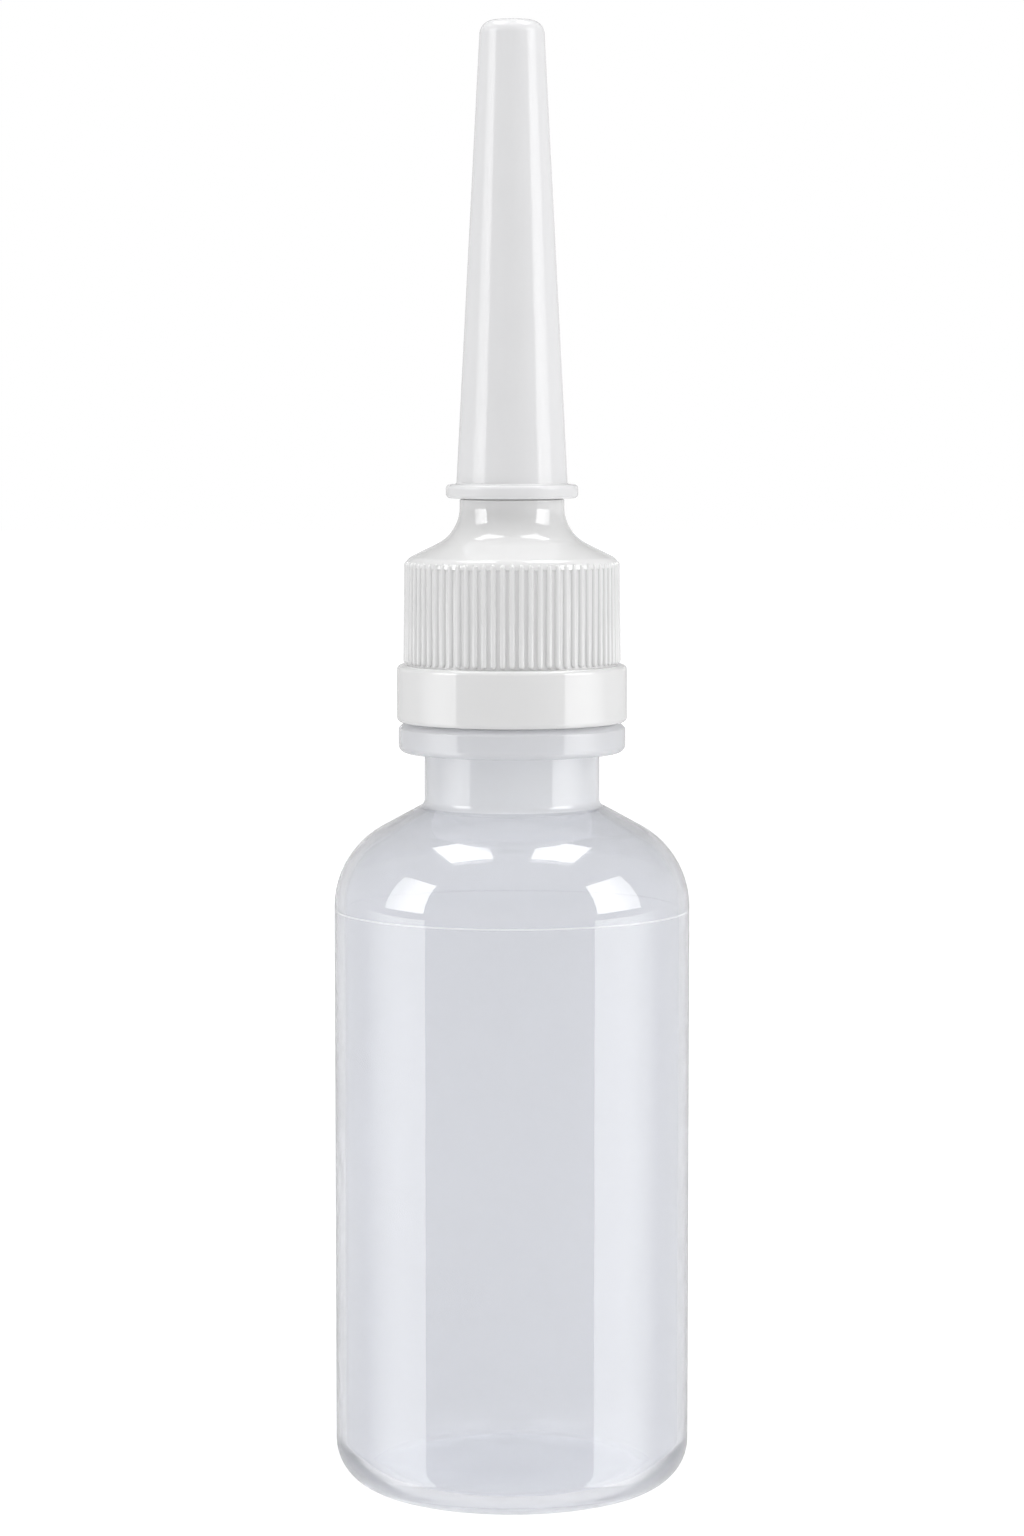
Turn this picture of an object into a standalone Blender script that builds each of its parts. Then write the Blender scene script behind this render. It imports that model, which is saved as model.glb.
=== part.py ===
"""Enema bottle: a squeeze bottle, its screw cap, the nozzle with a one-way valve, and a pull-off tip cover.

Run it with  blender --background --python part.py  or from Blender's text editor.
Lengths are in metres and +Z is up. The bottle stands on z = 0, and every piece is turned about the Z axis.
"""

import math

import bmesh
import bpy
from mathutils import Matrix, Vector

MM = 0.001
FULL_TURN = 2 * math.pi

# Clearances between pieces
SEAT_GAP = 0.3 * MM  # between two faces that rest on each other
SLIDE_GAP = 0.3 * MM  # radial, between pieces that turn or slide in each other

# Rounding of small moulded edges
EDGE = 0.2 * MM
SOFT_EDGE = 0.3 * MM

# Bottle body, blown with an even wall
BODY_RADIUS = 22.0 * MM
BODY_WALL = 1.1 * MM
FLOOR = 1.6 * MM
FOOT_RADIUS = 17.3 * MM  # outer edge of the ring that the bottle stands on
FOOT_WIDTH = 1.5 * MM
FOOT_FILLET = 1.4 * MM
HEEL_RISE = 1.3 * MM
HEEL_RADIUS = 5.6 * MM
PUSH_UP_STEP = 0.9 * MM  # rise just inside the foot ring
PUSH_UP_DRAFT = 0.45 * MM  # how far that rise leans inwards
PUSH_UP = 2.0 * MM  # hollow under the middle of the base
DIMPLE_RADIUS = 8.0 * MM
DIMPLE_DEPTH = 0.3 * MM
SHOULDER_CORNER = 79.1 * MM  # where the side wall and the dome's slope would meet
DOME_RADIUS = 11.2 * MM
DOME_SLOPE = math.radians(28.7)
SEAM_DROP = 0.1 * MM  # mould line, from the foot of the dome
SEAM_WIDTH = 0.4 * MM
SEAM_PROUD = 0.08 * MM

# Bottle neck and its thread, a 24 mm closure finish
NECK_RADIUS = 10.8 * MM
NECK_WALL = 1.2 * MM
NECK_FILLET = 1.0 * MM
NECK_LENGTH = 6.6 * MM  # from the dome to the support ring
RING_PROUD = 3.2 * MM
RING_HEIGHT = 3.0 * MM
RING_TOP_FILLET = 0.57 * MM
RING_FOOT_FILLET = 0.95 * MM
FINISH_HEIGHT = 16.95 * MM  # from the support ring to the mouth
THREAD_PITCH = 3.175 * MM
THREAD_TURNS = 1.5
THREAD_DEPTH = 0.95 * MM
THREAD_FOOT = 2.1 * MM  # width of the ridge where it meets the neck
THREAD_CREST = 0.8 * MM
THREAD_DROP = 2.4 * MM  # from the mouth to the middle of the ridge's upper end
THREAD_START = math.radians(2)

# Seal washer on the mouth
WASHER_HEIGHT = 0.8 * MM
WASHER_INSET = 0.1 * MM  # from the neck's outer edge

# Nozzle, moulded in soft plastic with its valve chamber
NOZZLE_FLANGE = 1.2 * MM
STEM_RADIUS = 4.6 * MM
TIP_RADIUS = 2.8 * MM
TIP_FILLET = 1.6 * MM
TIP_CLEARANCE = 5.0 * MM  # between the tip and the inside of the cover
SNAP_PROUD = 0.55 * MM  # bead that holds the nozzle in the cap
SNAP_HEIGHT = 1.4 * MM
BORE_RADIUS = 1.9 * MM
BORE_TIP_RADIUS = 1.3 * MM
OUTLET_RADIUS = 0.9 * MM
OUTLET_LENGTH = 3.0 * MM
CHAMBER_WALL = 1.3 * MM
BEAD_PROUD = 0.6 * MM  # bead that holds the valve seat in the chamber
BEAD_HEIGHT = 0.8 * MM
PLUG_GAP = 0.4 * MM  # between the chamber's wall and the bottle's bore

# Valve: a loose disc that lifts off its seat
STOP_COUNT = 4
STOP_HEIGHT = 0.6 * MM
STOP_WIDTH = 1.0 * MM
VALVE_TRAVEL = 0.8 * MM
DISC_HEIGHT = 1.0 * MM
DISC_FLOW_GAP = 0.6 * MM  # round the disc's rim, where the liquid passes
SEAT_PLATE = 1.2 * MM
SEAT_LIP = 0.6 * MM
SEAT_LIP_WIDTH = 1.0 * MM
SEAT_HOLE = 1.9 * MM

# Screw cap
SKIRT_LIFT = 0.55 * MM  # above the support ring
SKIRT_PROUD = 1.15 * MM  # outside the grip
SKIRT_HEIGHT = 7.05 * MM
SKIRT_WALL = 1.3 * MM
SKIRT_TOP_FILLET = 0.6 * MM
SKIRT_FOOT_FILLET = 0.8 * MM
GRIP_WALL = 1.0 * MM  # between the ribs
RIB_COUNT = 72
RIB_HEIGHT = 0.36 * MM  # at the skirt
RIB_FALL = 0.2 * MM  # how much lower a rib is at the shoulder
RIB_SPACE = 0.2 * MM  # half of the floor between two ribs
RIB_FLANK = 0.2 * MM
DECK_COVER = 0.76 * MM  # from the deck's underside up to the shoulder's outer corner
SHOULDER_FILLET = 1.35 * MM
SHOULDER_SLOPE = math.radians(26.3)
BOSS_LEDGE = 0.4 * MM  # width of the cover's seat
BOSS_HEIGHT = 7.2 * MM  # from the shoulder's outer corner to the cover's seat
BOSS_SWEEP = 5.0 * MM  # hollow curve between the shoulder and the boss
SPIGOT_HEIGHT = 6.0 * MM

# Tip cover
COVER_FLANGE_PROUD = 1.3 * MM
COVER_FLANGE_HEIGHT = 1.7 * MM
COVER_FLANGE_FILLET = 0.53 * MM
COVER_LENGTH = 58.15 * MM
COVER_BASE_RADIUS = 6.85 * MM
COVER_TIP_RADIUS = 3.9 * MM
COVER_TIP_FILLET = 1.75 * MM
COVER_WALL = 0.6 * MM
COVER_END = 0.9 * MM

# Places along the axis that follow from the sizes
NECK_BORE = NECK_RADIUS - NECK_WALL
DOME_FOOT_Z = SHOULDER_CORNER - DOME_RADIUS * math.tan((math.pi / 2 - DOME_SLOPE) / 2)
SEAM_Z = DOME_FOOT_Z - SEAM_DROP - SEAM_WIDTH / 2
NECK_FOOT_Z = SHOULDER_CORNER + (BODY_RADIUS - NECK_RADIUS) * math.tan(DOME_SLOPE)
RING_Z = NECK_FOOT_Z + NECK_LENGTH
RING_TOP_Z = RING_Z + RING_HEIGHT
MOUTH_Z = RING_TOP_Z + FINISH_HEIGHT
THREAD_Z = MOUTH_Z - THREAD_DROP - THREAD_TURNS * THREAD_PITCH
WASHER_Z = MOUTH_Z + SEAT_GAP
NOZZLE_Z = WASHER_Z + WASHER_HEIGHT + SEAT_GAP
DECK_Z = NOZZLE_Z + NOZZLE_FLANGE + SEAT_GAP
CAP_Z = RING_TOP_Z + SKIRT_LIFT
SHOULDER_Z = DECK_Z + DECK_COVER
BOSS_TOP_Z = SHOULDER_Z + BOSS_HEIGHT
COVER_Z = BOSS_TOP_Z + SEAT_GAP
SPIGOT_TOP_Z = BOSS_TOP_Z + SPIGOT_HEIGHT
STOP_Z = NOZZLE_Z - STOP_HEIGHT
DISC_Z = STOP_Z - SEAT_GAP - VALVE_TRAVEL - DISC_HEIGHT
SEAT_Z = DISC_Z - SEAT_GAP - SEAT_LIP - SEAT_PLATE
BEAD_Z = SEAT_Z - SEAT_GAP - BEAD_HEIGHT

# Radii that follow from them
THREAD_CREST_RADIUS = NECK_RADIUS + THREAD_DEPTH
CAP_BORE = THREAD_CREST_RADIUS + SLIDE_GAP
CAP_THREAD_CREST = NECK_RADIUS + SLIDE_GAP
RING_RADIUS = NECK_RADIUS + RING_PROUD
GRIP_RADIUS = CAP_BORE + GRIP_WALL
SKIRT_RADIUS = GRIP_RADIUS + SKIRT_PROUD
FLANGE_RADIUS = NECK_RADIUS - WASHER_INSET
PLUG_RADIUS = NECK_BORE - PLUG_GAP
CHAMBER_RADIUS = PLUG_RADIUS - CHAMBER_WALL
STEM_BORE = STEM_RADIUS + SLIDE_GAP
COVER_FLANGE_RADIUS = COVER_BASE_RADIUS + COVER_FLANGE_PROUD
COVER_TAPER = (COVER_BASE_RADIUS - COVER_TIP_RADIUS) / (COVER_LENGTH - COVER_FLANGE_HEIGHT)
COVER_MOUTH = COVER_BASE_RADIUS - COVER_WALL + COVER_FLANGE_HEIGHT * COVER_TAPER
BOSS_RADIUS = COVER_MOUTH - SLIDE_GAP + BOSS_LEDGE

# How finely round shapes are cut into flats
BOTTLE_STEPS = 40
COVER_STEPS = 32
NOZZLE_STEPS = 24
SMALL_STEPS = 24
THREAD_STEPS = 24  # to a turn
COARSE_ARC = math.radians(46)
FINE_ARC = math.radians(18)
FINE_FROM = 2.0 * MM  # fillets of this radius and over are cut finely
SINK = 0.3 * MM  # how far a joined shape reaches into the one that it joins
WELD = 0.0005 * MM


def clear_scene():
    for old in list(bpy.data.objects):
        bpy.data.objects.remove(old)


def plastic(name, colour, roughness, transmission=0.0):
    """A Principled material, with colour as linear red, green and blue."""
    material = bpy.data.materials.new(name)
    material.use_nodes = True
    shader = material.node_tree.nodes["Principled BSDF"]
    shader.inputs["Base Color"].default_value = (*colour, 1.0)
    shader.inputs["Roughness"].default_value = roughness
    shader.inputs["Metallic"].default_value = 0.0
    shader.inputs["Transmission Weight"].default_value = transmission
    material.diffuse_color = (*colour, 1.0)
    return material


def rounded(corners):
    """The outline through corners (radius, z) or (radius, z, fillet), with each fillet as an arc.

    Where two fillets want more than the edge between them, they share it.
    """
    points = [Vector(corner[:2]) for corner in corners]
    halves = []
    wanted = []
    for index, corner in enumerate(corners):
        before = points[index - 1] - points[index]
        after = points[(index + 1) % len(points)] - points[index]
        halves.append(before.angle(after) / 2)
        wanted.append(corner[2] / math.tan(halves[index]) if len(corner) > 2 else 0.0)
    outline = []
    for index, here in enumerate(points):
        if wanted[index] <= 0:
            outline.append(here)
            continue
        room = wanted[index]
        directions = []
        for neighbour in (index - 1, (index + 1) % len(points)):
            edge = points[neighbour] - here
            directions.append(edge.normalized())
            room = min(room, wanted[index] * edge.length / (wanted[index] + wanted[neighbour]))
        radius = room * math.tan(halves[index])
        start = here + directions[0] * room
        inwards = (directions[0] + directions[1]).normalized()
        centre = here + inwards * radius / math.sin(halves[index])
        turn = math.pi - 2 * halves[index]
        if directions[0].cross(directions[1]) > 0:
            turn = -turn
        pieces = max(2, math.ceil(abs(turn) / (FINE_ARC if radius >= FINE_FROM else COARSE_ARC)))
        for piece in range(pieces + 1):
            outline.append(centre + Matrix.Rotation(turn * piece / pieces, 2) @ (start - centre))
    return outline


def turned(name, corners, steps, material, z=0.0, closed=False):
    """A solid turned about Z from its outline.

    A closed outline makes a ring, and an open one starts and ends on the axis.
    """
    shape = bmesh.new()
    points = [shape.verts.new((p.x, 0.0, p.y)) for p in rounded(corners)]
    edges = [shape.edges.new(pair) for pair in zip(points, points[1:])]
    if closed:
        edges.append(shape.edges.new((points[-1], points[0])))
    bmesh.ops.spin(
        shape,
        geom=points + edges,
        axis=(0, 0, 1),
        cent=(0, 0, 0),
        angle=FULL_TURN,
        steps=steps,
        use_merge=True,
    )
    bmesh.ops.remove_doubles(shape, verts=shape.verts, dist=WELD)
    bmesh.ops.recalc_face_normals(shape, faces=shape.faces)
    return placed(name, shape, material, z)


def placed(name, shape, material, z):
    """A scene object made from a bmesh, with its origin on the axis at height z."""
    mesh = bpy.data.meshes.new(name)
    shape.to_mesh(mesh)
    shape.free()
    mesh.shade_smooth()
    mesh.set_sharp_from_angle(angle=math.radians(35))
    mesh.materials.append(material)
    made = bpy.data.objects.new(name, mesh)
    made.location.z = z
    bpy.context.scene.collection.objects.link(made)
    return made


def helper(shape_object):
    """Marks an object as one that only takes part in a Boolean."""
    shape_object.hide_render = True
    shape_object.display_type = "WIRE"
    return shape_object


def joined(target, other, name):
    """Adds a Boolean union of target with other."""
    union = target.modifiers.new(name, "BOOLEAN")
    union.operation = "UNION"
    union.object = helper(other)
    return target


def thread_ridge(name, foot_radius, crest_radius, foot_width, bottom, material, z):
    """A right-hand helical ridge that climbs from height bottom. Its crest fades out at both ends."""
    shape = bmesh.new()
    sections = round(THREAD_TURNS * THREAD_STEPS)
    fade = THREAD_STEPS / 8
    inward = 1.0 if crest_radius > foot_radius else -1.0
    rings = []
    for section in range(sections + 1):
        share = min(1.0, (section + 0.5) / fade, (sections - section + 0.5) / fade)
        crest = foot_radius + (crest_radius - foot_radius) * share
        sunk = foot_radius - inward * SINK
        angle = THREAD_START + FULL_TURN * section / THREAD_STEPS
        height = bottom + THREAD_PITCH * section / THREAD_STEPS
        ring = []
        for radius, half_width in (
            (sunk, -foot_width / 2),
            (crest, -THREAD_CREST / 2),
            (crest, THREAD_CREST / 2),
            (sunk, foot_width / 2),
        ):
            point = (radius * math.cos(angle), radius * math.sin(angle), height + half_width)
            ring.append(shape.verts.new(point))
        rings.append(ring)
    for lower, upper in zip(rings, rings[1:]):
        for side in range(4):
            following = (side + 1) % 4
            shape.faces.new((lower[side], lower[following], upper[following], upper[side]))
    shape.faces.new(rings[0])
    shape.faces.new(rings[-1])
    bmesh.ops.recalc_face_normals(shape, faces=shape.faces)
    return placed(name, shape, material, z)


def grip_ribs(cap, low, high):
    """Raises one rib with sloping sides on each flat of the cap between the heights low and high."""
    shape = bmesh.new()
    shape.from_mesh(cap.data)
    flats = []
    for face in shape.faces:
        centre = face.calc_center_median()
        outwards = Vector((centre.x, centre.y, 0)).normalized().dot(face.normal)
        if low < centre.z < high and outwards > 0.9:
            flats.append(face)
    for thickness, depth in ((RIB_SPACE, 0.0), (RIB_FLANK, RIB_HEIGHT)):
        bmesh.ops.inset_individual(shape, faces=flats, thickness=thickness, depth=depth, use_even_offset=True)
    for crest in flats:
        for corner in crest.verts:
            if corner.co.z > crest.calc_center_median().z:
                corner.co -= RIB_FALL * crest.normal
    shape.to_mesh(cap.data)
    shape.free()
    cap.data.shade_smooth()
    cap.data.set_sharp_from_angle(angle=math.radians(35))


def bottle(material):
    """The blown bottle: push-up base, straight side, domed shoulder, support ring and threaded neck."""
    inner_radius = BODY_RADIUS - BODY_WALL
    slope_drop = BODY_WALL / math.cos(DOME_SLOPE)
    inner_shoulder = SHOULDER_CORNER + BODY_WALL * math.tan(DOME_SLOPE) - slope_drop
    inner_neck_foot = NECK_FOOT_Z + NECK_WALL * math.tan(DOME_SLOPE) - slope_drop
    body = turned(
        "bottle",
        [
            (0, PUSH_UP + FLOOR),
            (FOOT_RADIUS - FOOT_WIDTH / 2, FLOOR, FOOT_FILLET),
            (inner_radius, HEEL_RISE + FLOOR, HEEL_RADIUS - BODY_WALL),
            (inner_radius, inner_shoulder, DOME_RADIUS - BODY_WALL),
            (NECK_BORE, inner_neck_foot, NECK_FILLET + NECK_WALL),
            (NECK_BORE, MOUTH_Z, SOFT_EDGE),
            (NECK_RADIUS, MOUTH_Z, SOFT_EDGE),
            (NECK_RADIUS, RING_TOP_Z),
            (RING_RADIUS, RING_TOP_Z, RING_TOP_FILLET),
            (RING_RADIUS, RING_Z, RING_FOOT_FILLET),
            (NECK_RADIUS, RING_Z),
            (NECK_RADIUS, NECK_FOOT_Z, NECK_FILLET),
            (BODY_RADIUS, SHOULDER_CORNER, DOME_RADIUS),
            (BODY_RADIUS, SEAM_Z + SEAM_WIDTH / 2),
            (BODY_RADIUS + SEAM_PROUD, SEAM_Z),
            (BODY_RADIUS, SEAM_Z - SEAM_WIDTH / 2),
            (BODY_RADIUS, HEEL_RISE, HEEL_RADIUS),
            (FOOT_RADIUS, 0, FOOT_FILLET),
            (FOOT_RADIUS - FOOT_WIDTH, 0),
            (FOOT_RADIUS - FOOT_WIDTH - PUSH_UP_DRAFT, PUSH_UP_STEP),
            (DIMPLE_RADIUS, PUSH_UP - DIMPLE_DEPTH),
            (DIMPLE_RADIUS - DIMPLE_DEPTH, PUSH_UP),
            (0, PUSH_UP),
        ],
        BOTTLE_STEPS,
        material,
    )
    ridge = thread_ridge(
        "bottle_thread",
        NECK_RADIUS,
        THREAD_CREST_RADIUS,
        THREAD_FOOT,
        THREAD_Z,
        material,
        0.0,
    )
    return joined(body, ridge, "thread")


def screw_cap(material):
    """The cap: plain skirt, ribbed grip, hollow-curved shoulder, and a boss with a spigot for the cover."""
    deck = DECK_Z - CAP_Z
    shoulder = SHOULDER_Z - CAP_Z
    boss_top = BOSS_TOP_Z - CAP_Z
    spigot_top = SPIGOT_TOP_Z - CAP_Z
    sweep_z = shoulder + (GRIP_RADIUS - BOSS_RADIUS) * math.tan(SHOULDER_SLOPE)
    skirt_bore = SKIRT_RADIUS - SKIRT_WALL
    bore_step = skirt_bore - CAP_BORE
    cap = turned(
        "screw_cap",
        [
            (skirt_bore, 0),
            (skirt_bore, SKIRT_HEIGHT - SKIRT_WALL),
            (CAP_BORE, SKIRT_HEIGHT - SKIRT_WALL + bore_step),
            (CAP_BORE, deck),
            (STEM_BORE, deck),
            (STEM_BORE, spigot_top),
            (cover_bore(SPIGOT_HEIGHT) - SLIDE_GAP, spigot_top, SOFT_EDGE),
            (COVER_MOUTH - SLIDE_GAP, boss_top),
            (BOSS_RADIUS, boss_top, EDGE),
            (BOSS_RADIUS, sweep_z, BOSS_SWEEP),
            (GRIP_RADIUS, shoulder, SHOULDER_FILLET),
            (GRIP_RADIUS, SKIRT_HEIGHT),
            (SKIRT_RADIUS, SKIRT_HEIGHT, SKIRT_TOP_FILLET),
            (SKIRT_RADIUS, 0, SKIRT_FOOT_FILLET),
        ],
        RIB_COUNT,
        material,
        CAP_Z,
        closed=True,
    )
    grip_ribs(cap, SKIRT_HEIGHT + RIB_SPACE, shoulder - SHOULDER_FILLET)
    ridge = thread_ridge(
        "cap_thread",
        CAP_BORE,
        CAP_THREAD_CREST,
        THREAD_FOOT - 2 * SLIDE_GAP,
        THREAD_Z - THREAD_PITCH / 2 - CAP_Z,
        material,
        CAP_Z,
    )
    return joined(cap, ridge, "thread")


def cover_bore(height):
    """The cover's inner radius at a height above its flange's underside."""
    return COVER_MOUTH - height * COVER_TAPER


def tip_cover(material):
    """The pull-off cover: a tapered cup, closed at its tip, with a flange round its mouth."""
    ceiling = COVER_LENGTH - COVER_END
    return turned(
        "tip_cover",
        [
            (0, ceiling),
            (cover_bore(ceiling), ceiling, COVER_TIP_FILLET - COVER_WALL),
            (COVER_MOUTH, 0, EDGE),
            (COVER_FLANGE_RADIUS, 0, COVER_FLANGE_FILLET),
            (COVER_FLANGE_RADIUS, COVER_FLANGE_HEIGHT, COVER_FLANGE_FILLET),
            (COVER_BASE_RADIUS, COVER_FLANGE_HEIGHT, SOFT_EDGE),
            (COVER_TIP_RADIUS, COVER_LENGTH, COVER_TIP_FILLET),
            (0, COVER_LENGTH),
        ],
        COVER_STEPS,
        material,
        COVER_Z,
    )


def nozzle(material):
    """The nozzle: valve chamber, clamped flange, stem with a snap bead, and a rounded tip with its outlet."""
    tip = COVER_Z + COVER_LENGTH - COVER_END - TIP_CLEARANCE - NOZZLE_Z
    snap = SPIGOT_TOP_Z + SEAT_GAP - NOZZLE_Z
    bead = BEAD_Z - NOZZLE_Z
    made = turned(
        "nozzle",
        [
            (PLUG_RADIUS, bead, SOFT_EDGE),
            (PLUG_RADIUS, 0),
            (FLANGE_RADIUS, 0, EDGE),
            (FLANGE_RADIUS, NOZZLE_FLANGE, EDGE),
            (STEM_RADIUS, NOZZLE_FLANGE),
            (STEM_RADIUS, snap),
            (STEM_RADIUS + SNAP_PROUD, snap + SNAP_HEIGHT / 4),
            (STEM_RADIUS, snap + SNAP_HEIGHT),
            (TIP_RADIUS, tip, TIP_FILLET),
            (OUTLET_RADIUS, tip, EDGE),
            (OUTLET_RADIUS, tip - OUTLET_LENGTH),
            (BORE_TIP_RADIUS, tip - OUTLET_LENGTH - BORE_TIP_RADIUS),
            (BORE_RADIUS, NOZZLE_FLANGE),
            (BORE_RADIUS, 0),
            (CHAMBER_RADIUS, 0),
            (CHAMBER_RADIUS, bead + BEAD_HEIGHT),
            (CHAMBER_RADIUS - BEAD_PROUD, bead + BEAD_HEIGHT / 2, EDGE),
            (CHAMBER_RADIUS, bead),
        ],
        NOZZLE_STEPS,
        material,
        NOZZLE_Z,
        closed=True,
    )
    return joined(made, stop_ribs(material), "stops")


def stop_ribs(material):
    """Ribs under the chamber's ceiling that stop the valve disc and keep the way to the bore open."""
    inner = BORE_RADIUS + STOP_WIDTH
    outer = CHAMBER_RADIUS - STOP_WIDTH
    shape = bmesh.new()
    for number in range(STOP_COUNT):
        size = Matrix.Diagonal((outer - inner, STOP_WIDTH, STOP_HEIGHT + SINK, 1))
        out = Matrix.Translation(((outer + inner) / 2, 0, (SINK - STOP_HEIGHT) / 2))
        around = Matrix.Rotation(FULL_TURN * (number + 0.5) / STOP_COUNT, 4, "Z")
        bmesh.ops.create_cube(shape, size=1.0, matrix=around @ out @ size)
    return placed("stop_ribs", shape, material, NOZZLE_Z)


def valve_disc(material):
    """The loose disc that seals on the seat's lip and lifts when the bottle is squeezed."""
    radius = CHAMBER_RADIUS - DISC_FLOW_GAP
    return turned(
        "valve_disc",
        [
            (0, 0),
            (radius, 0, EDGE),
            (radius, DISC_HEIGHT, EDGE),
            (0, DISC_HEIGHT),
        ],
        SMALL_STEPS,
        material,
        DISC_Z,
    )


def valve_seat(material):
    """The plate pressed into the chamber behind its bead, with a raised lip round its hole."""
    top = SEAT_PLATE + SEAT_LIP
    return turned(
        "valve_seat",
        [
            (SEAT_HOLE, 0, EDGE),
            (CHAMBER_RADIUS - SLIDE_GAP, 0, EDGE),
            (CHAMBER_RADIUS - SLIDE_GAP, SEAT_PLATE, EDGE),
            (SEAT_HOLE + SEAT_LIP_WIDTH + SEAT_LIP / 2, SEAT_PLATE),
            (SEAT_HOLE + SEAT_LIP_WIDTH, top, EDGE),
            (SEAT_HOLE, top, EDGE),
        ],
        SMALL_STEPS,
        material,
        SEAT_Z,
        closed=True,
    )


def seal_washer(material):
    """The flat washer clamped between the bottle's mouth and the nozzle's flange."""
    inner = PLUG_RADIUS + SLIDE_GAP
    return turned(
        "seal_washer",
        [
            (inner, 0),
            (FLANGE_RADIUS, 0),
            (FLANGE_RADIUS, WASHER_HEIGHT),
            (inner, WASHER_HEIGHT),
        ],
        SMALL_STEPS,
        material,
        WASHER_Z,
        closed=True,
    )


def main():
    clear_scene()
    natural = plastic("natural_polyethylene", (0.66, 0.67, 0.71), 0.2, transmission=0.4)
    white = plastic("white_polypropylene", (0.80, 0.80, 0.80), 0.3)
    milky = plastic("milky_polyethylene", (0.76, 0.76, 0.77), 0.3, transmission=0.15)
    soft = plastic("soft_white_polyethylene", (0.78, 0.78, 0.77), 0.4)
    silicone = plastic("clear_silicone", (0.70, 0.72, 0.73), 0.35)
    foam = plastic("white_foam", (0.75, 0.75, 0.74), 0.8)
    bottle(natural)
    screw_cap(white)
    tip_cover(milky)
    nozzle(soft)
    valve_disc(silicone)
    valve_seat(soft)
    seal_washer(foam)


main()
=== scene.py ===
# %% [markdown]
# # Enema bottle: the looks
# A soft squeeze bottle stands on a pale floor. A ribbed white cap is screwed on its neck, a nozzle
# with a one-way valve is clamped under the cap, and a long tapered cover is pushed over the nozzle.
# The sizes and the joints are fixed already. Here each piece gets its fine surface and its real
# finish. Every piece is turned about one axis, so most of this lesson is about drawing an outline
# and spinning it.

# %% Load the fixed frame
import math

import bmesh
import bpy
from mathutils import Matrix, Vector


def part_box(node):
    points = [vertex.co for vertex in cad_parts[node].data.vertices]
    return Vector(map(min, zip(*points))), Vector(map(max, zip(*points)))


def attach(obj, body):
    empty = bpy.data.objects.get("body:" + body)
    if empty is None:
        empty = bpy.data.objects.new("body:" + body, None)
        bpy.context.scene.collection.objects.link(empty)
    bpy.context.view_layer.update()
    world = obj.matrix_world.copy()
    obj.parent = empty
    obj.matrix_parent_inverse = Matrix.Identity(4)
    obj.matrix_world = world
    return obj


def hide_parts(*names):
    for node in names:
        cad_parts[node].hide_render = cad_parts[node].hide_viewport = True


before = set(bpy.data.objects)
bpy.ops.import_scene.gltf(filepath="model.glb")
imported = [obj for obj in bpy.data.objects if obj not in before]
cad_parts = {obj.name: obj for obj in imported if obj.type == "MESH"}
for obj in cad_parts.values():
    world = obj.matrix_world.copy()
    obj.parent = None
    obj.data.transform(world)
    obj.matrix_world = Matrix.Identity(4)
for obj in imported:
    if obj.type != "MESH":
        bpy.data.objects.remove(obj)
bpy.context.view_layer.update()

MM = 0.001
FULL_TURN = 2 * math.pi

# %% [markdown]
# ## Camera
# The photograph was taken from about half a metre, a little above the middle of the bottle and
# tilted down. The tilt shows the tops of the rings as thin ellipses, and from those the distance,
# the height and the tilt were worked out. A long lens keeps the sides of the bottle nearly
# parallel.
# Light is mirrored many times inside the bottle's curved wall. With the usual four bounces it ends
# too early, and black crescents appear at the bottle's foot, so more are followed here.

# %% Set the camera
CAMERA_DISTANCE = 515.1 * MM
CAMERA_HEIGHT = 134.2 * MM
CAMERA_TILT = math.radians(4.95)
CAMERA_LENS = 97.9  # in millimetres
WALL_BOUNCES = 12  # as many as the limit on all bounces together allows

bpy.ops.object.select_all(action="DESELECT")
bpy.ops.object.camera_add(
    location=(0, -CAMERA_DISTANCE, CAMERA_HEIGHT),
    rotation=(math.pi / 2 - CAMERA_TILT, 0, 0),
)
camera = bpy.context.object
camera.name = "camera"
camera.data.lens = CAMERA_LENS
bpy.context.scene.camera = camera
bpy.context.scene.view_settings.view_transform = "Standard"
bpy.context.scene.cycles.glossy_bounces = WALL_BOUNCES
print("camera at", tuple(camera.location))

# %% [markdown]
# ## Two helpers for shaders
# Colours are written as the hex values that a paint program shows. Those are sRGB, and a shader
# works in linear light, so one function converts them. A second function adds a node with its
# settings and links, which keeps a material readable as a short list of nodes.

# %% Define the colour and node helpers


def linear(code):
    """The linear red, green, blue and alpha of an sRGB hex colour such as F0F0F0."""
    shares = [int(code[start : start + 2], 16) / 255 for start in (0, 2, 4)]
    light = [
        share / 12.92 if share <= 0.04045 else ((share + 0.055) / 1.055) ** 2.4
        for share in shares
    ]
    return (*light, 1.0)


def add_node(tree, kind, inputs=None, **settings):
    """Adds a node. An input that is a socket becomes a link, and anything else a value."""
    made = tree.nodes.new(kind)
    for name, value in settings.items():
        setattr(made, name, value)
    for name, value in (inputs or {}).items():
        if isinstance(value, bpy.types.NodeSocket):
            tree.links.new(value, made.inputs[name])
        else:
            made.inputs[name].default_value = value
    return made


# %% [markdown]
# ## White surroundings
# A translucent bottle takes its whole look from what stands around it, so there are four worlds in
# one. The camera sees plain white. What is seen through the plastic is a shade below white. What is
# mirrored in the gloss is white below, as the table is, then grey, and darkest on the ceiling: that
# stands for the unlit room, it draws the thin dark outlines, and the lamps stand out against it.
# What falls on the object as light is even and weaker than white.

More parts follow.
